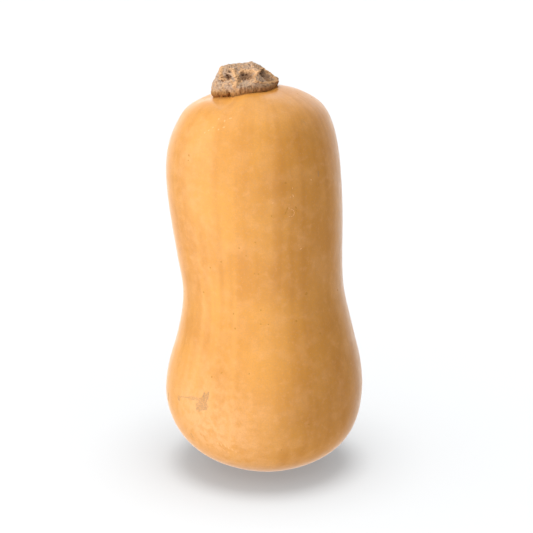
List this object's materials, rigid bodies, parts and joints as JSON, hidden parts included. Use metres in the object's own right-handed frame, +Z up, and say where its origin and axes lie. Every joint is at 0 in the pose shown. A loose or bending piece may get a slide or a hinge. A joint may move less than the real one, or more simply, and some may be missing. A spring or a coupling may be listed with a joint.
{
  "type": "butternut squash",
  "caption": "Whole butternut squash with a long straight neck, a rounder bulb and a short corky stem, standing upright on its blossom end.",
  "frame": {"origin": "bottom centre of the bounding box, on the ground under the bulb", "axes": "+Z up along the fruit from the blossom end to the stem, -Y towards the side that faces the viewer"},
  "size_m": [0.1066, 0.1056, 0.2179],
  "materials": {
    "rind": "waxy tan-orange rind with a soft sheen",
    "stem": "dry corky grey-beige stem"
  },
  "bodies": {
    "root": {"fruit": "rind", "stem": "stem"}
  },
  "joints": []
}
